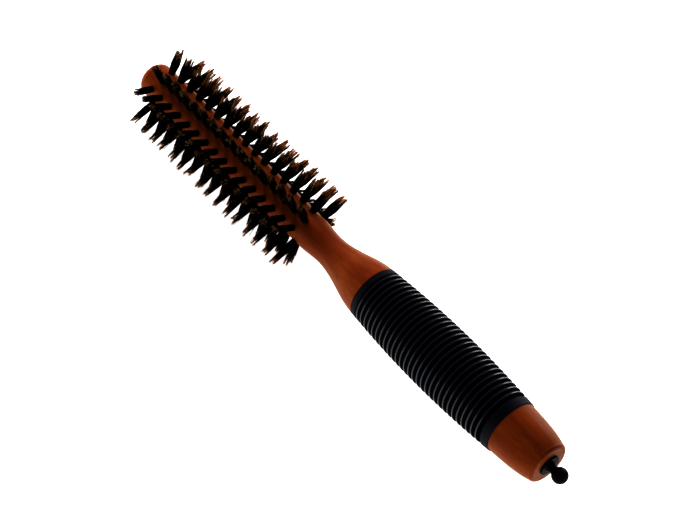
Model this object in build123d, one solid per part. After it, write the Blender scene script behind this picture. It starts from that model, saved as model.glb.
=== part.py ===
"""Round barrel hair brush with a turned wooden body, bristle tufts, a ribbed grip and a stowed sectioning pick.

The brush lies along X with its tip at -X and its butt at +X, and +Z is up.
The origin is on the brush's axis, halfway along its overall length.
Stations along the brush are measured from the tip of the barrel, and the whole part is shifted on export.
"""
import math
import os

from build123d import *

# Overall body, stations in mm from the tip of the barrel
barrel_end = 106.0
waist_station = 116.8
sleeve_start = 143.5
sleeve_end = 221.0
butt_face = 241.0

# Barrel and neck radii
tip_edge_radius = 3.8
barrel_tip_radius = 7.45
barrel_end_radius = 7.1
waist_radius = 6.35
shoulder_station = 129.0
shoulder_radius = 8.3

# Grip: a barrel shape whose outline is one long arc
crown_station = 182.5
crown_radius = 13.15
crown_arc_radius = 430.0
sleeve_thickness = 1.7
sleeve_proud = 0.3
seat_gap = 0.02

# Ribs of the grip sleeve
rib_count = 29
rib_height = 0.85
rib_flat_share = 0.34
first_rib_start = 146.7
last_rib_end = 216.6
band_edge_radius = 0.35

# Butt
butt_bend_station = 239.5
butt_bend_radius = 8.78
butt_flat_radius = 7.55
butt_corner_inset = 0.42

# Bristle tufts, in rows that alternate between two starting stations
row_count = 8
tufts_per_row = 16
first_tuft_station = 9.2
row_stagger = 2.2
tuft_pitch = 6.17
tuft_hole_radius = 1.3
tuft_hole_floor = 3.9
tuft_root_radius = 1.27
tuft_tip_radius = 1.7
tuft_bevel = 0.5
brush_radius = 19.6
row_phase = 22.5

# Wire anchors that hold the tufts in their holes
anchor_length = 2.5
anchor_width = 0.9
anchor_thickness = 0.35
anchor_clearance = 0.01

# Socket for the sectioning pick
socket_radius = 3.0
socket_length = 20.0
socket_flange_radius = 4.3
socket_flange_thickness = 0.9
socket_flange_edge = 0.35
socket_bore_radius = 1.18
ring_groove_station = 237.0
ring_groove_width = 0.9
ring_groove_radius = 1.95
ring_section_radius = 0.4
ring_gap = 0.02
pilot_bore_radius = 1.5
pilot_bore_floor = 168.0

# Sectioning pick
shank_radius = 1.1
shank_point_radius = 0.4
shank_tip_station = 171.5
shank_taper_length = 26.0
shank_head_depth = 4.0
knob_ball_radius = 3.1
knob_ball_station = 246.75
knob_neck_radius = 1.75
knob_foot_radius = 2.5
running_gap = 0.05

overall_length = knob_ball_station + knob_ball_radius


def grip_radius(station):
    """Outer radius of the grip's long arc at a station."""
    reach = station - crown_station
    drop = crown_arc_radius - math.sqrt(crown_arc_radius**2 - reach**2)
    return crown_radius - drop


def grip_slope(station):
    """Rise of the grip's arc per mm of length at a station."""
    reach = station - crown_station
    return -reach / math.sqrt(crown_arc_radius**2 - reach**2)


def turned(outline):
    """Solid turned about the brush's axis from a closed outline of edges in the XY plane."""
    return revolve(make_face(Wire(outline)), axis=Axis.X)


def ring_bar(start, end, radius):
    """Plain cylinder about the brush's axis between two stations."""
    blank = Cylinder(radius, end - start, align=(Align.CENTER, Align.CENTER, Align.MIN))
    return Location((start, 0, 0), (0, 90, 0)) * blank


def seat_arc(gap):
    """Arc of the sleeve's inner face, lowered by a gap."""
    depth = sleeve_thickness + gap
    stations = (sleeve_start, crown_station, sleeve_end)
    points = [(station, grip_radius(station) - depth) for station in stations]
    return ThreePointArc(*points), points[0], points[-1]


def wood_blank():
    """Turned body: flat-ended barrel, waisted neck, recessed grip seat and rounded butt."""
    tip_flat_radius = barrel_tip_radius - tip_edge_radius
    lean = tip_edge_radius * (1 - math.sqrt(0.5))
    shoulder_edge_radius = grip_radius(sleeve_start)
    collar_radius = grip_radius(sleeve_end) - sleeve_proud
    seat, seat_first, seat_last = seat_arc(seat_gap)
    neck = Spline(
        (barrel_end, barrel_end_radius),
        (waist_station, waist_radius),
        (shoulder_station, shoulder_radius),
        (sleeve_start, shoulder_edge_radius),
        tangents=[(1, 0), (1, grip_slope(sleeve_start))],
    )
    butt = Spline(
        (sleeve_end, collar_radius),
        (butt_bend_station, butt_bend_radius),
        tangents=[(1, -0.06), (1, -0.32)],
    )
    outline = [
        Line((0, 0), (0, tip_flat_radius)),
        ThreePointArc(
            (0, tip_flat_radius),
            (lean, barrel_tip_radius - lean),
            (tip_edge_radius, barrel_tip_radius),
        ),
        Line((tip_edge_radius, barrel_tip_radius), (barrel_end, barrel_end_radius)),
        neck,
        Line((sleeve_start, shoulder_edge_radius), seat_first),
        seat,
        Line(seat_last, (sleeve_end, collar_radius)),
        butt,
        ThreePointArc(
            (butt_bend_station, butt_bend_radius),
            (butt_face - butt_corner_inset, butt_bend_radius - butt_corner_inset),
            (butt_face, butt_flat_radius),
        ),
        Line((butt_face, butt_flat_radius), (butt_face, 0)),
        Line((butt_face, 0), (0, 0)),
    ]
    return turned(outline)


def row_angle(row):
    """Angle of a bristle row about the axis, so that two rows face down at equal angles."""
    return row_phase + row * 360 / row_count


def tuft_places(row):
    """Locations of a row's tufts: X along the brush, local Z pointing out of the barrel."""
    first = first_tuft_station + row_stagger * ((row + 1) % 2)
    stations = [first + tuft_pitch * index for index in range(tufts_per_row)]
    return [Location((station, 0, 0), (row_angle(row), 0, 0)) for station in stations]


def tuft_hole():
    """Blind hole for one tuft, drilled towards the axis along local Z."""
    depth = barrel_tip_radius + 1 - tuft_hole_floor
    drill = Cylinder(tuft_hole_radius, depth, align=(Align.CENTER, Align.CENTER, Align.MIN))
    return Location((0, 0, tuft_hole_floor)) * drill


def wood_body():
    """Turned body with its tuft holes and the stepped bore for the pick."""
    body = wood_blank()
    drill = tuft_hole()
    for row in range(row_count):
        body -= [place * drill for place in tuft_places(row)]
    body -= ring_bar(butt_face - socket_length, butt_face + 1, socket_radius)
    body -= ring_bar(pilot_bore_floor, butt_face, pilot_bore_radius)
    return body


def grip_sleeve():
    """Rubber sleeve: two plain end bands with round ribs between them."""
    pitch = (last_rib_end - first_rib_start) / rib_count
    flat = pitch * rib_flat_share
    seat, seat_first, seat_last = seat_arc(0)
    edge = band_edge_radius
    first_crest = grip_radius(sleeve_start)
    last_crest = grip_radius(sleeve_end)
    outline = [
        Line(seat_first, (sleeve_start, first_crest - edge)),
        ThreePointArc(
            (sleeve_start, first_crest - edge),
            (sleeve_start + 0.3 * edge, first_crest - 0.25 * edge),
            (sleeve_start + edge, first_crest),
        ),
    ]
    here = (sleeve_start + edge, first_crest)
    band_end = (first_rib_start - flat, grip_radius(first_rib_start - flat))
    outline.append(Line(here, band_end))
    valley = (first_rib_start, grip_radius(first_rib_start) - rib_height)
    outline.append(Line(band_end, valley))
    for rib in range(rib_count):
        start = first_rib_start + rib * pitch
        crest = start + (pitch - flat) / 2
        foot = start + pitch - flat
        foot_point = (foot, grip_radius(foot) - rib_height)
        outline.append(ThreePointArc(valley, (crest, grip_radius(crest)), foot_point))
        valley = (start + pitch, grip_radius(start + pitch) - rib_height)
        outline.append(Line(foot_point, valley))
    band_start = (last_rib_end + flat, grip_radius(last_rib_end + flat))
    band_edge = (sleeve_end - edge, grip_radius(sleeve_end - edge))
    outline.append(Line(valley, band_start))
    outline.append(Line(band_start, band_edge))
    outline.append(
        ThreePointArc(
            band_edge,
            (sleeve_end - 0.3 * edge, last_crest - 0.25 * edge),
            (sleeve_end, last_crest - edge),
        )
    )
    outline.append(Line((sleeve_end, last_crest - edge), seat_last))
    outline.append(seat)
    return turned(outline)


def tuft():
    """One bundle of bristle standing on its wire anchor: straight in its hole, flaring to a bevelled tip."""
    foot = tuft_hole_floor + anchor_width + 2 * anchor_clearance
    outline = Polyline(
        (0, foot),
        (tuft_root_radius, foot),
        (tuft_root_radius, barrel_end_radius),
        (tuft_tip_radius, brush_radius - tuft_bevel),
        (tuft_tip_radius - tuft_bevel, brush_radius),
        (0, brush_radius),
        close=True,
    )
    upright = Location((0, 0, 0), (90, 0, 0)) * make_face(outline)
    return revolve(upright, axis=Axis.Z)


def anchor():
    """Flat wire on edge across the hole's floor, which holds the fold of the bristles."""
    return Location((0, 0, tuft_hole_floor + anchor_clearance)) * Box(
        anchor_length,
        anchor_thickness,
        anchor_width,
        align=(Align.CENTER, Align.CENTER, Align.MIN),
    )


def pick_socket():
    """Flanged plastic bush in the butt, with a groove for the ring that grips the pick."""
    flange_end = butt_face + socket_flange_thickness
    shoulder = flange_end - socket_flange_edge
    outline = [
        Line((butt_face - socket_length, 0), (butt_face - socket_length, socket_radius)),
        Line((butt_face - socket_length, socket_radius), (butt_face, socket_radius)),
        Line((butt_face, socket_radius), (butt_face, socket_flange_radius)),
        Line((butt_face, socket_flange_radius), (shoulder, socket_flange_radius)),
        ThreePointArc(
            (shoulder, socket_flange_radius),
            (flange_end - 0.3 * socket_flange_edge, socket_flange_radius - 0.3 * socket_flange_edge),
            (flange_end, socket_flange_radius - socket_flange_edge),
        ),
        Line((flange_end, socket_flange_radius - socket_flange_edge), (flange_end, 0)),
        Line((flange_end, 0), (butt_face - socket_length, 0)),
    ]
    bush = turned(outline)
    bush -= ring_bar(butt_face - socket_length - 1, flange_end + 1, socket_bore_radius)
    half_groove = ring_groove_width / 2
    bush -= ring_bar(ring_groove_station - half_groove, ring_groove_station + half_groove, ring_groove_radius)
    return bush


def pick_grip_ring():
    """Small rubber ring around the pick's shank, seated in the socket's groove."""
    centre_radius = shank_radius + ring_gap + ring_section_radius
    ring = Torus(centre_radius, ring_section_radius)
    return Location((ring_groove_station, 0, 0), (0, 90, 0)) * ring


def pick_shank():
    """Round steel pin with a long taper to a blunt point; its head is held inside the knob."""
    taper_start = shank_tip_station + shank_taper_length
    head_end = butt_face + socket_flange_thickness + running_gap + shank_head_depth
    point = shank_point_radius
    outline = [
        ThreePointArc(
            (shank_tip_station, 0),
            (shank_tip_station + point * (1 - math.sqrt(0.5)), point * math.sqrt(0.5)),
            (shank_tip_station + point, point),
        ),
        Line((shank_tip_station + point, point), (taper_start, shank_radius)),
        Line((taper_start, shank_radius), (head_end, shank_radius)),
        Line((head_end, shank_radius), (head_end, 0)),
        Line((head_end, 0), (shank_tip_station, 0)),
    ]
    return turned(outline)


def pick_knob():
    """Round plastic knob with a short flared neck, bored for the shank's head."""
    foot = butt_face + socket_flange_thickness + running_gap
    join = knob_ball_station - math.sqrt(knob_ball_radius**2 - knob_neck_radius**2)
    ball_end = knob_ball_station + knob_ball_radius
    outline = [
        Line((foot, 0), (foot, knob_foot_radius)),
        Spline(
            (foot, knob_foot_radius),
            (join, knob_neck_radius),
            tangents=[(0.6, -1), (1, 0)],
        ),
        ThreePointArc((join, knob_neck_radius), (knob_ball_station, knob_ball_radius), (ball_end, 0)),
        Line((ball_end, 0), (foot, 0)),
    ]
    knob = turned(outline)
    knob -= ring_bar(foot - 1, foot + shank_head_depth, shank_radius)
    return knob


def write_node(name, shape):
    """Shift a node so that the origin is halfway along the brush, and write its STEP file."""
    centred = Location((-overall_length / 2, 0, 0)) * shape
    export_step(centred, f"parts/{name}.step")


def main():
    os.makedirs("parts", exist_ok=True)
    write_node("wood_body", wood_body())
    write_node("grip_sleeve", grip_sleeve())
    one_tuft = tuft()
    one_anchor = anchor()
    for row in range(row_count):
        places = tuft_places(row)
        write_node(f"bristle_row_{row + 1}", Compound([place * one_tuft for place in places]))
        write_node(f"anchor_row_{row + 1}", Compound([place * one_anchor for place in places]))
    write_node("pick_socket", pick_socket())
    write_node("pick_grip_ring", pick_grip_ring())
    write_node("pick_shank", pick_shank())
    write_node("pick_knob", pick_knob())


main()
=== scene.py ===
"""Looks of the round barrel brush: bristle tufts hair by hair, lacquered wood, rubber, plastic and steel."""
import math

import bpy
import numpy as np
from mathutils import Matrix, Vector


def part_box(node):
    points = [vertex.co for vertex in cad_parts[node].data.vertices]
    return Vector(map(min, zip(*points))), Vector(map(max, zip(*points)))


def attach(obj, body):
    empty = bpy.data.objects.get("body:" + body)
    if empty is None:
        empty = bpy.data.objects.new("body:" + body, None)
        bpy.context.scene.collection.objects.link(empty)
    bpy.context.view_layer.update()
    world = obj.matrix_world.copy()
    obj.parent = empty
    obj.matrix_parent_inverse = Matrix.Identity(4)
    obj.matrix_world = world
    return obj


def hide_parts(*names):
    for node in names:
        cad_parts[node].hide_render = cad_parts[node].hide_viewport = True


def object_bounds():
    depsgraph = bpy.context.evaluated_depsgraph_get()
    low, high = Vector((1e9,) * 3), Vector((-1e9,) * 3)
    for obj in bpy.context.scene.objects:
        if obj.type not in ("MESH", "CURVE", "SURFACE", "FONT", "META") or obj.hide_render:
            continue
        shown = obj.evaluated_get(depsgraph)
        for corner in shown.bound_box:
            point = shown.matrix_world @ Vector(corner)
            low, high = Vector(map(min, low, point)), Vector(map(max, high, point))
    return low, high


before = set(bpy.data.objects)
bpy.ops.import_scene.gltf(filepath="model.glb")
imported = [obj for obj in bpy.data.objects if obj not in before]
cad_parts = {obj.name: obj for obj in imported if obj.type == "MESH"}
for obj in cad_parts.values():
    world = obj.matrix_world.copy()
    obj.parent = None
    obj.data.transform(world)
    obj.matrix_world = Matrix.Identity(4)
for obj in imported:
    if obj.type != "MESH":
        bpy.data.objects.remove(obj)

cad_low, cad_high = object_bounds()
MM = 0.001

# Rows of tufts, as the CAD has them
ROW_COUNT = 8
TUFTS_PER_ROW = 16
CAD_TUFT_RADIUS = 1.7 * MM
CAD_TUFT_FLAT = 1.2 * MM
BARREL_RADIUS = 7.1 * MM

# Hairs and how a tuft's hairs spread, gather and vary
HOLE_DEPTH_SHOWN = 1.2 * MM
HAIRS_PER_TUFT = 170
HAIR_SIDES = 3
HAIR_RINGS = 7
HAIR_ROOT_WIDTH = 0.28 * MM
HAIR_TIP_WIDTH = 0.12 * MM
BRANCH_TIP_WIDTH = 0.08 * MM
TUFT_ROOT_RADIUS = 1.27 * MM
TUFT_FLARE = 1.5
FLARE_LENGTH = 5.0 * MM
CLUMPS_PER_TUFT = 7
CLUMP_REACH = (0.3, 0.92)
CLUMP_LOSS = (-0.7 * MM, 1.8 * MM)
CLUMP_PULL = 0.85
CLUMP_START = 0.5
EDGE_LOSS = 0.8 * MM
LENGTH_VARIATION = 0.8 * MM
ROOT_VARIATION = 0.04 * MM
TUFT_LEAN = 0.3 * MM
HAIR_WANDER = 0.16 * MM
HAIR_BEND = 0.25 * MM
SPLIT_SHARE = 0.5
SPLIT_DRIFT = 0.2 * MM
STRAY_SHARE = 0.05
STRAY_LOSS = (0.5 * MM, 3 * MM)
STRAY_WANDER = 4
GOLDEN_TURN = math.pi * (3 - math.sqrt(5))

# How single rows differ: shorter, swayed or leaning at the tips, opened less; and painted light on the tips:
# the straw colour starts sooner on rows that catch the light and later on shaded rows
ROW_TRIM = {2: 1.0 * MM, 6: 1.0 * MM, 8: 1.0 * MM}
ROW_SWAY = {3: 1.4 * MM}
ROW_FLARE = {1: 1.3, 2: 1.1, 3: 1.15, 4: 1.3}
ROW_LEAN = {8: (-0.3 * MM, 2.0 * MM)}
ROW_TIP_LIGHT_SHIFT = {1: -0.085, 2: -0.075, 3: -0.03, 4: -0.03, 5: 0.0, 6: 0.03, 7: 0.11, 8: 0.05}

# Ribs of the grip sleeve, between a plain band at each end
RIB_COUNT = 29
TIP_SIDE_BAND = 3.2 * MM
BUTT_SIDE_BAND = 4.4 * MM
CREST_SHARE = 0.33

# The side of the surround that stays dim, as a direction from the brush
DIM_SIDE = (0.47, -0.49, 0.73)


# ---------------------------------------------------------------- node helpers


def material(name):
    """An empty node material with its Principled shader and an object-space coordinate socket."""
    made = bpy.data.materials.new(name)
    made.use_nodes = True
    nodes = made.node_tree.nodes
    shader = nodes["Principled BSDF"]
    place = nodes.new("ShaderNodeTexCoord").outputs["Object"]
    return made, made.node_tree, shader, place


def node(tree, kind, inputs=None, **settings):
    """Adds a node, sets its plain properties and fills its inputs with values or links."""
    made = tree.nodes.new(kind)
    for key, value in settings.items():
        setattr(made, key, value)
    for key, value in (inputs or {}).items():
        if isinstance(value, bpy.types.NodeSocket):
            tree.links.new(value, made.inputs[key])
        else:
            made.inputs[key].default_value = value
    return made


def scaled(tree, place, scale):
    """The coordinate stretched by a scale along each axis."""
    return node(tree, "ShaderNodeMapping", {"Vector": place, "Scale": scale}).outputs["Vector"]


def noise(tree, place, scale, detail=4.0, roughness=0.5, distortion=0.0):
    made = node(
        tree,
        "ShaderNodeTexNoise",
        {
            "Vector": place,
            "Scale": scale,
            "Detail": detail,
            "Roughness": roughness,
            "Distortion": distortion,
        },
    )
    return made.outputs["Fac"]


def ramp(tree, fac, stops, smooth=False):
    """A colour ramp from (position, colour) pairs; a colour may be a single grey value."""
    made = node(tree, "ShaderNodeValToRGB", {"Fac": fac})
    band = made.color_ramp
    band.interpolation = "EASE" if smooth else "LINEAR"
    while len(band.elements) < len(stops):
        band.elements.new(0.5)
    for element, (position, colour) in zip(band.elements, stops):
        element.position = position
        grey = isinstance(colour, (int, float))
        element.color = (colour, colour, colour, 1) if grey else (*colour, 1)
    return made.outputs["Color"]


def mix(tree, fac, first, second, kind="MIX"):
    made = node(tree, "ShaderNodeMix", data_type="RGBA", blend_type=kind)
    for index, value in ((0, fac), (6, first), (7, second)):
        if isinstance(value, bpy.types.NodeSocket):
            tree.links.new(value, made.inputs[index])
        elif index == 0:
            made.inputs[index].default_value = value
        else:
            made.inputs[index].default_value = (*value, 1)
    return made.outputs[2]


def maths(tree, operation, first, second=0.0):
    made = node(tree, "ShaderNodeMath", operation=operation)
    for index, value in enumerate((first, second)):
        if isinstance(value, bpy.types.NodeSocket):
            tree.links.new(value, made.inputs[index])
        else:
            made.inputs[index].default_value = value
    return made.outputs["Value"]


def bump(tree, shader, height, strength, distance):
    made = node(tree, "ShaderNodeBump", {"Height": height, "Strength": strength, "Distance": distance})
    tree.links.new(made.outputs["Normal"], shader.inputs["Normal"])


# ------------------------------------------------------------------- materials


def wood_material():
    """Red-brown stained hardwood: long grain along X, dark pores, and an amber glow for the lacquer."""
    made, tree, shader, place = material("lacquered_wood")
    long_grain = noise(tree, scaled(tree, place, (14, 260, 260)), 1.0, 5, 0.6, 0.4)
    broad = noise(tree, scaled(tree, place, (9, 60, 60)), 1.0, 3, 0.5)
    pores = noise(tree, scaled(tree, place, (160, 2600, 2600)), 1.0, 2, 0.5)
    stain = ramp(
        tree,
        long_grain,
        [
            (0.30, (0.24, 0.036, 0.004)),
            (0.48, (0.32, 0.056, 0.006)),
            (0.62, (0.38, 0.076, 0.008)),
            (0.78, (0.44, 0.105, 0.013)),
        ],
    )
    patches = ramp(tree, broad, [(0.35, (0.86, 0.76, 0.70)), (0.65, (1.0, 1.0, 1.0))])
    toned = mix(tree, 1.0, stain, patches, "MULTIPLY")
    pore_mask = ramp(tree, pores, [(0.28, 0.35), (0.38, 1.0)])
    colour = mix(tree, pore_mask, (0.14, 0.022, 0.006), toned)
    tree.links.new(colour, shader.inputs["Base Color"])
    rough = ramp(tree, long_grain, [(0.3, 0.46), (0.7, 0.36)])
    tree.links.new(rough, shader.inputs["Roughness"])
    shader.inputs["Specular IOR Level"].default_value = 0.12
    shader.inputs["Specular Tint"].default_value = (1.0, 0.62, 0.28, 1)
    shader.inputs["Sheen Weight"].default_value = 0.35
    shader.inputs["Sheen Roughness"].default_value = 0.4
    shader.inputs["Sheen Tint"].default_value = (1.0, 0.62, 0.14, 1)
    bump(tree, shader, pores, 0.12, 0.0001)
    return made


def rib_crests(tree, place):
    """Mask that is 1 along each rib's rubbed crest, 0 in the valleys and in between on the plain bands."""
    low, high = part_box("grip_sleeve")
    start = low[0] + TIP_SIDE_BAND
    end = high[0] - BUTT_SIDE_BAND
    pitch = (end - start) / RIB_COUNT
    along = node(tree, "ShaderNodeSeparateXYZ", {0: place}).outputs["X"]
    count = maths(tree, "DIVIDE", maths(tree, "SUBTRACT", along, start + CREST_SHARE * pitch), pitch)
    gap = maths(tree, "PINGPONG", count, 0.5)
    crest = ramp(tree, gap, [(0.06, 1.0), (0.18, 0.0)], smooth=True)
    past_ends = maths(tree, "ABSOLUTE", maths(tree, "SUBTRACT", along, (start + end) / 2))
    band = maths(tree, "GREATER_THAN", past_ends, (end - start) / 2)
    return mix(tree, band, crest, (0.3, 0.3, 0.3))


def rubber_material():
    """Moulded black rubber with a faint blue cast, satin with fine mottling."""
    made, tree, shader, place = material("grip_rubber")
    mottle = noise(tree, place, 900, 4, 0.6)
    wear = noise(tree, scaled(tree, place, (40, 90, 90)), 1.0, 3, 0.5)
    colour = ramp(tree, wear, [(0.3, (0.0015, 0.002, 0.006)), (0.7, (0.004, 0.0045, 0.011))])
    tree.links.new(colour, shader.inputs["Base Color"])
    crest = rib_crests(tree, place)
    tree.links.new(ramp(tree, crest, [(0.0, 0.02), (1.0, 0.65)]), shader.inputs["Specular IOR Level"])
    satin = ramp(tree, crest, [(0.0, 0.85), (1.0, 0.2)])
    rough = mix(tree, 0.12, satin, ramp(tree, mottle, [(0.3, 0.2), (0.7, 0.6)]))
    tree.links.new(rough, shader.inputs["Roughness"])
    shader.inputs["Specular Tint"].default_value = (0.86, 0.9, 1.0, 1)
    bump(tree, shader, mottle, 0.15, 0.00008)
    return made


def bristle_material():
    """Natural bristle: near black for most of its length, brown to straw at the split tips, hair by hair."""
    made, tree, shader, place = material("bristle")
    along = node(tree, "ShaderNodeAttribute", attribute_name="along").outputs["Fac"]
    tone = node(tree, "ShaderNodeAttribute", attribute_name="tone").outputs["Fac"]
    body = ramp(
        tree,
        tone,
        [
            (0.0, (0.0015, 0.001, 0.001)),
            (0.8, (0.004, 0.003, 0.002)),
            (1.0, (0.02, 0.009, 0.004)),
        ],
    )
    tip = ramp(
        tree,
        tone,
        [
            (0.0, (0.02, 0.006, 0.003)),
            (0.35, (0.28, 0.06, 0.010)),
            (0.65, (0.80, 0.26, 0.05)),
            (1.0, (1.0, 0.72, 0.34)),
        ],
    )
    start = maths(tree, "MULTIPLY_ADD", tone, -0.18)
    start.node.inputs[2].default_value = 0.96
    share = maths(tree, "SUBTRACT", along, start)
    fade = ramp(tree, maths(tree, "MULTIPLY", share, 7.0), [(0.0, 0.0), (1.0, 1.0)], smooth=True)
    fine = noise(tree, scaled(tree, place, (1800, 1800, 1800)), 1.0, 2, 0.5)
    streak = ramp(tree, fine, [(0.3, (0.6, 0.6, 0.6)), (0.7, (1.15, 1.15, 1.15))])
    colour = mix(tree, 1.0, mix(tree, fade, body, tip), streak, "MULTIPLY")
    tree.links.new(colour, shader.inputs["Base Color"])
    rough = ramp(tree, along, [(0.0, 0.5), (1.0, 0.65)])
    tree.links.new(rough, shader.inputs["Roughness"])
    shader.inputs["Specular IOR Level"].default_value = 0.05
    return made


def black_plastic_material():
    """Black moulded plastic, semi-gloss, with faint handling marks."""
    made, tree, shader, place = material("black_plastic")
    haze = noise(tree, place, 420, 3, 0.6)
    colour = ramp(tree, haze, [(0.3, (0.004, 0.004, 0.005)), (0.7, (0.009, 0.009, 0.010))])
    tree.links.new(colour, shader.inputs["Base Color"])
    rough = ramp(tree, haze, [(0.3, 0.25), (0.7, 0.4)])
    tree.links.new(rough, shader.inputs["Roughness"])
    shader.inputs["Specular IOR Level"].default_value = 0.03
    bump(tree, shader, haze, 0.03, 0.00005)
    return made


def matt_rubber_material():
    """Dull black rubber of the small ring."""
    made, tree, shader, place = material("ring_rubber")
    grain = noise(tree, place, 2600, 3, 0.6)
    colour = ramp(tree, grain, [(0.3, (0.010, 0.010, 0.010)), (0.7, (0.022, 0.022, 0.022))])
    tree.links.new(colour, shader.inputs["Base Color"])
    rough = ramp(tree, grain, [(0.3, 0.6), (0.7, 0.8)])
    tree.links.new(rough, shader.inputs["Roughness"])
    return made


def steel_material(name, tint, along_scale, low, high):
    """Drawn or polished steel with fine lines along its length."""
    made, tree, shader, place = material(name)
    lines = noise(tree, scaled(tree, place, along_scale), 1.0, 3, 0.5)
    darker = tuple(0.8 * value for value in tint)
    colour = ramp(tree, lines, [(0.3, darker), (0.7, tint)])
    tree.links.new(colour, shader.inputs["Base Color"])
    rough = ramp(tree, lines, [(0.3, low), (0.7, high)])
    tree.links.new(rough, shader.inputs["Roughness"])
    shader.inputs["Metallic"].default_value = 1.0
    return made


def dress(cad_node, look):
    """Gives a CAD node one material."""
    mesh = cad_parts[cad_node].data
    mesh.materials.clear()
    mesh.materials.append(look)


# -------------------------------------------------------------------- bristles


def row_layout(row_node):
    """Outward and sideways directions, brush radius and tuft stations of one row, from its CAD box."""
    low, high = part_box(row_node)
    angle = math.atan2((low[2] + high[2]) / 2, (low[1] + high[1]) / 2)
    outward = np.array([0.0, math.cos(angle), math.sin(angle)])
    sideways = np.array([0.0, -math.sin(angle), math.cos(angle)])
    reach = max(abs(value) for value in (low[1], high[1], low[2], high[2]))
    near, far = sorted((abs(outward[1]), abs(outward[2])))
    radius = (reach - CAD_TUFT_FLAT * near) / far
    stations = np.linspace(low[0] + CAD_TUFT_RADIUS, high[0] - CAD_TUFT_RADIUS, TUFTS_PER_ROW)
    return outward, sideways, radius, stations


def clump_centres(rng, flare):
    """Places across a tuft's tip where its hairs gather into points, with each point's lost length."""
    turn = np.arange(CLUMPS_PER_TUFT) * 2 * math.pi / CLUMPS_PER_TUFT + rng.uniform(0, 6)
    turn += rng.normal(0, 0.3, CLUMPS_PER_TUFT)
    reach = TUFT_ROOT_RADIUS * flare * rng.uniform(*CLUMP_REACH, CLUMPS_PER_TUFT)
    centres = np.stack([reach * np.cos(turn), reach * np.sin(turn)], axis=1)
    return centres, rng.uniform(*CLUMP_LOSS, CLUMPS_PER_TUFT)


def hair_paths(rng, station, outward, sideways, brush_radius, flare, offset):
    """Centre lines of a tuft's hairs, from just inside the hole to the frayed tip, offset there."""
    count = HAIRS_PER_TUFT
    turn = np.arange(count) * GOLDEN_TURN + rng.uniform(0, 6)
    reach = TUFT_ROOT_RADIUS * np.sqrt((np.arange(count) + 0.5) / count)
    spread = np.stack([reach * np.cos(turn), reach * np.sin(turn)], axis=1)
    spread += rng.normal(0, ROOT_VARIATION, spread.shape)
    centres, clump_loss = clump_centres(rng, flare)
    gaps = np.linalg.norm(spread[:, None] * flare - centres[None], axis=2)
    nearest = gaps.argmin(axis=1)
    lean = rng.normal(0, TUFT_LEAN, 2) + offset
    length_loss = np.abs(rng.normal(0, LENGTH_VARIATION, count)) + clump_loss[nearest]
    length_loss += EDGE_LOSS * (reach / TUFT_ROOT_RADIUS) ** 2
    stray = rng.random(count) < STRAY_SHARE
    length_loss[stray] += rng.uniform(*STRAY_LOSS, stray.sum())
    tip_radius = brush_radius - length_loss
    wander = rng.normal(0, HAIR_WANDER, (count, 2))
    wander[stray] *= STRAY_WANDER
    bend = rng.normal(0, HAIR_BEND, (count, 2))
    start_radius = BARREL_RADIUS - HOLE_DEPTH_SHOWN
    paths = np.zeros((count, HAIR_RINGS, 3))
    for index, step in enumerate(np.linspace(0, 1, HAIR_RINGS)):
        radius = start_radius + (tip_radius - start_radius) * step
        opening = np.clip((radius - BARREL_RADIUS) / FLARE_LENGTH, 0, 1)
        across = spread * (1 + (flare - 1) * opening[:, None])
        gather = CLUMP_PULL * max(0.0, (step - CLUMP_START) / (1 - CLUMP_START)) ** 1.3
        across = across + (centres[nearest] - across) * gather
        across = across + lean * step**1.3 + wander * step**2 + bend * (step * (1 - step))
        paths[:, index, 0] = station + across[:, 0]
        paths[:, index, 1:] = radius[:, None] * outward[1:] + across[:, 1:2] * sideways[1:]
    return paths


def split_tips(rng, paths):
    """Short fine branches from near the ends of some hairs."""
    chosen = paths[rng.random(len(paths)) < SPLIT_SHARE]
    start = chosen[:, -2] * 0.45 + chosen[:, -1] * 0.55
    run = chosen[:, -1] - chosen[:, -2]
    drift = rng.normal(0, SPLIT_DRIFT, start.shape)
    end = start + run * rng.uniform(0.4, 0.75, (len(chosen), 1)) + drift
    steps = np.linspace(0, 1, 3)[None, :, None]
    return start[:, None] * (1 - steps) + end[:, None] * steps


def tubes(paths, root_width, tip_width, sideways, along, tone):
    """Thin tapered tubes along paths, as arrays of corners, faces and per-corner values."""
    count, rings = paths.shape[:2]
    turn = np.arange(HAIR_SIDES) * 2 * math.pi / HAIR_SIDES
    circle = np.cos(turn)[:, None] * np.array([1.0, 0, 0]) + np.sin(turn)[:, None] * sideways
    width = np.linspace(root_width, tip_width, rings) / 2
    corners = paths[:, :, None, :] + width[None, :, None, None] * circle[None, None]
    corners = corners.reshape(-1, 3)
    ring_start = (np.arange(count)[:, None] * rings + np.arange(rings - 1)[None]) * HAIR_SIDES
    side = np.arange(HAIR_SIDES)
    after = (side + 1) % HAIR_SIDES
    quads = np.stack(
        [
            ring_start[..., None] + side,
            ring_start[..., None] + after,
            ring_start[..., None] + HAIR_SIDES + after,
            ring_start[..., None] + HAIR_SIDES + side,
        ],
        axis=-1,
    ).reshape(-1, 4)
    first = np.arange(count) * rings * HAIR_SIDES
    caps = [first[:, None] + side[::-1], first[:, None] + (rings - 1) * HAIR_SIDES + side]
    values_along = np.repeat(np.broadcast_to(along, (count, rings)).reshape(-1), HAIR_SIDES)
    values_tone = np.repeat(tone, rings * HAIR_SIDES)
    return corners, quads, np.concatenate(caps), values_along, values_tone


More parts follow.
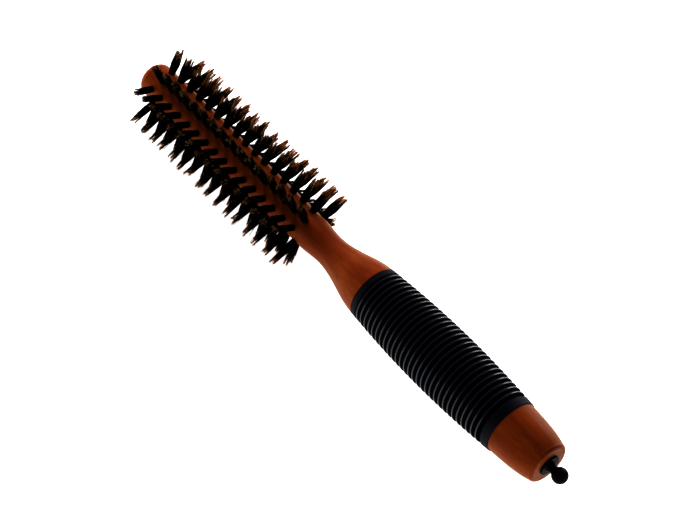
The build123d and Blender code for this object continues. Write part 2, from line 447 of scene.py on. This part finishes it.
def bristle_row(number, look):
    """One lengthwise row of tufts, hair by hair, in place of its CAD row."""
    row_node = f"bristle_row_{number}"
    outward, sideways, brush_radius, stations = row_layout(row_node)
    brush_radius -= ROW_TRIM.get(number, 0.0)
    sway = ROW_SWAY.get(number, 0.0)
    flare = ROW_FLARE.get(number, TUFT_FLARE)
    leans = np.linspace(*ROW_LEAN.get(number, (0.0, 0.0)), TUFTS_PER_ROW)
    rng = np.random.default_rng(100 + number)
    parts = []
    for station, lean in zip(stations, leans):
        offset = np.array([lean, sway])
        paths = hair_paths(rng, station, outward, sideways, brush_radius, flare, offset)
        tone = rng.random(len(paths)) ** 1.3
        # The row's shift moves where the straw tips begin along the hair: painted light, lighter tips on lit
        # rows, darker on shaded ones
        along = np.linspace(0, 1, HAIR_RINGS)[None] + ROW_TIP_LIGHT_SHIFT[number]
        parts.append(tubes(paths, HAIR_ROOT_WIDTH, HAIR_TIP_WIDTH, sideways, along, tone))
        branches = split_tips(rng, paths)
        branch_along = np.linspace(0.92, 1, 3)[None] + ROW_TIP_LIGHT_SHIFT[number]
        branch_tone = 0.4 + 0.6 * rng.random(len(branches))
        parts.append(tubes(branches, HAIR_TIP_WIDTH, BRANCH_TIP_WIDTH, sideways, branch_along, branch_tone))
    return build_hairs(f"bristle_tufts_{number}", parts, row_node, look)


def build_hairs(name, parts, row_node, look):
    """Joins arrays of tubes into one mesh piece that rides on the brush."""
    corners, quads, caps, along, tone = [], [], [], [], []
    offset = 0
    for part in parts:
        corners.append(part[0])
        quads.append(part[1] + offset)
        caps.append(part[2] + offset)
        along.append(part[3])
        tone.append(part[4])
        offset += len(part[0])
    faces = np.concatenate(quads).tolist() + np.concatenate(caps).tolist()
    mesh = bpy.data.meshes.new(name)
    mesh.from_pydata(np.concatenate(corners).tolist(), [], faces)
    for key, values in (("along", along), ("tone", tone)):
        layer = mesh.attributes.new(key, "FLOAT", "POINT")
        layer.data.foreach_set("value", np.concatenate(values).astype(np.float32))
    mesh.polygons.foreach_set("use_smooth", np.ones(len(mesh.polygons), dtype=bool))
    mesh.materials.append(look)
    piece = bpy.data.objects.new(name, mesh)
    bpy.context.scene.collection.objects.link(piece)
    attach(piece, "brush")
    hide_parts(row_node)
    return piece


# ----------------------------------------------------------------- scene parts


def studio():
    """Pale floor, a broad soft lamp beyond the tip, a small one on the far side, and the surround."""
    floor_mesh = bpy.data.meshes.new("floor")
    size = 3.0
    low = cad_low[2] - 0.0004
    floor_mesh.from_pydata(
        [(-size, -size, low), (size, -size, low), (size, size, low), (-size, size, low)], [], [(0, 1, 2, 3)]
    )
    floor = bpy.data.objects.new("floor", floor_mesh)
    bpy.context.scene.collection.objects.link(floor)
    made, _, shader, _ = material("floor_white")
    shader.inputs["Base Color"].default_value = (0.92, 0.92, 0.92, 1)
    shader.inputs["Roughness"].default_value = 0.9
    shader.inputs["Emission Color"].default_value = (1, 1, 1, 1)
    shader.inputs["Emission Strength"].default_value = 1.0
    floor_mesh.materials.append(made)
    surround()
    softbox("tip_side_light", (-0.8, 0.25, 0.55), 0.9, 0.9, 13.0, reflected=False)
    softbox("far_side_light", (-0.1, 0.85, 0.25), 0.3, 0.4, 3.0)


def surround():
    """Plain surround that is dim on one side above the brush and beyond its butt."""
    world = bpy.data.worlds.new("studio")
    bpy.context.scene.world = world
    world.use_nodes = True
    tree = world.node_tree
    direction = node(tree, "ShaderNodeTexCoord").outputs["Generated"]
    towards = node(tree, "ShaderNodeVectorMath", {0: direction, 1: DIM_SIDE}, operation="DOT_PRODUCT")
    facing = towards.outputs["Value"]
    side = ramp(tree, facing, [(0.0, 0.5), (0.3, 0.3), (0.6, 0.14), (1.0, 0.1)], smooth=True)
    lengthwise = node(tree, "ShaderNodeSeparateXYZ", {0: direction}).outputs["X"]
    ends = ramp(tree, lengthwise, [(0.0, 1.0), (0.7, 0.2)], smooth=True)
    light = mix(tree, 1.0, side, ends, "MULTIPLY")
    tree.links.new(light, tree.nodes["Background"].inputs["Color"])
    tree.nodes["Background"].inputs["Strength"].default_value = 1.0


def softbox(name, place, width, height, power, reflected=True):
    """A soft rectangular lamp that faces the brush, seen in glossy reflections or not."""
    lamp = bpy.data.lights.new(name, "AREA")
    lamp.shape = "RECTANGLE"
    lamp.size = width
    lamp.size_y = height
    lamp.energy = power
    holder = bpy.data.objects.new(name, lamp)
    holder.location = place
    holder.rotation_mode = "QUATERNION"
    holder.rotation_quaternion = (-Vector(place)).to_track_quat("-Z", "Y")
    holder.visible_glossy = reflected
    bpy.context.scene.collection.objects.link(holder)


def camera():
    """Camera beyond the butt on the near side, looking down the brush, slightly rolled."""
    lens = bpy.data.cameras.new("camera")
    lens.sensor_width = 36.0
    lens.lens = 102.86
    holder = bpy.data.objects.new("camera", lens)
    bpy.context.scene.collection.objects.link(holder)
    distance = 0.7623
    azimuth = math.radians(-46.174)
    elevation = math.radians(46.793)
    roll = math.radians(9.376)
    aim = Vector((0.00137, 0.00217, 0.00147))
    level_share = math.cos(elevation)
    back = Vector((math.cos(azimuth) * level_share, math.sin(azimuth) * level_share, math.sin(elevation)))
    holder.location = aim + back * distance
    level = (-back).to_track_quat("-Z", "Y").to_matrix().to_4x4()
    holder.matrix_world = Matrix.Translation(holder.location) @ level @ Matrix.Rotation(roll, 4, "Z")
    lens.clip_start = 0.01
    bpy.context.scene.camera = holder


def main():
    wood = wood_material()
    rubber = rubber_material()
    bristle = bristle_material()
    plastic = black_plastic_material()
    ring = matt_rubber_material()
    pin = steel_material("pick_steel", (0.62, 0.62, 0.63), (60, 4000, 4000), 0.16, 0.28)
    wire = steel_material("anchor_wire", (0.5, 0.5, 0.5), (400, 3000, 3000), 0.35, 0.5)
    dress("wood_body", wood)
    dress("grip_sleeve", rubber)
    dress("pick_socket", plastic)
    dress("pick_knob", plastic)
    dress("pick_grip_ring", ring)
    dress("pick_shank", pin)
    for number in range(1, ROW_COUNT + 1):
        dress(f"anchor_row_{number}", wire)
        bristle_row(number, bristle)
    studio()
    camera()
    scene = bpy.context.scene
    scene.view_settings.view_transform = "Standard"
    scene.view_settings.look = "None"
    scene.view_settings.gamma = 0.7


main()
